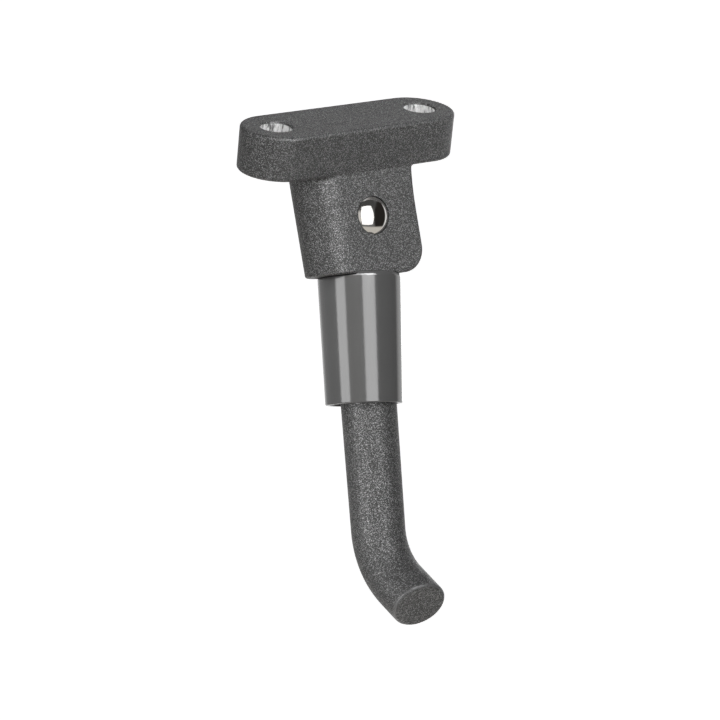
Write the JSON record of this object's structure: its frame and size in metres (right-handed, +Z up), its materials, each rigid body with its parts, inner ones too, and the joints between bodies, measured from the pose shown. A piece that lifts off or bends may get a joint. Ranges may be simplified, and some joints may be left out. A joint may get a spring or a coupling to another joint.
{
  "type": "electric scooter kickstand",
  "caption": "Side stand with a round-ended bolt-on plate, a slotted body, a leg that swings on a rivet and bends out to a foot, and a sprung sleeve that latches it",
  "frame": {"origin": "centre of the plate's flat top face, midway between its two bolt holes", "axes": "+Z is up out of the flat top face, +X runs along the plate towards the side that the leg folds to, and -Y is the outer side, where the foot points"},
  "size_m": [0.0658, 0.0742, 0.1197],
  "materials": {
    "cast_paint": "satin",
    "sleeve_plastic": "satin",
    "spring_steel": "satin",
    "rivet_chrome": "polished"
  },
  "bodies": {
    "bracket": {"bracket": "cast_paint", "pivot_rivet": "rivet_chrome"},
    "leg": {"leg": "cast_paint", "spring": "spring_steel"},
    "sleeve": {"sleeve": "sleeve_plastic"}
  },
  "joints": [
    {"name": "leg_swing", "type": "hinge", "parent": "bracket", "child": "leg", "pos_m": [-0.0007, -0.00744, -0.02574], "axis": [0, -0.91, 0.4147], "range_deg": [0, 96.5]},
    {"name": "sleeve_slide", "type": "slide", "parent": "leg", "child": "sleeve", "axis": [-0.1132, -0.412, -0.9041], "range_m": [0, 0.0042], "stiffness_N_per_m": 2500, "springref_m": -0.006, "deforming": ["spring"]}
  ]
}
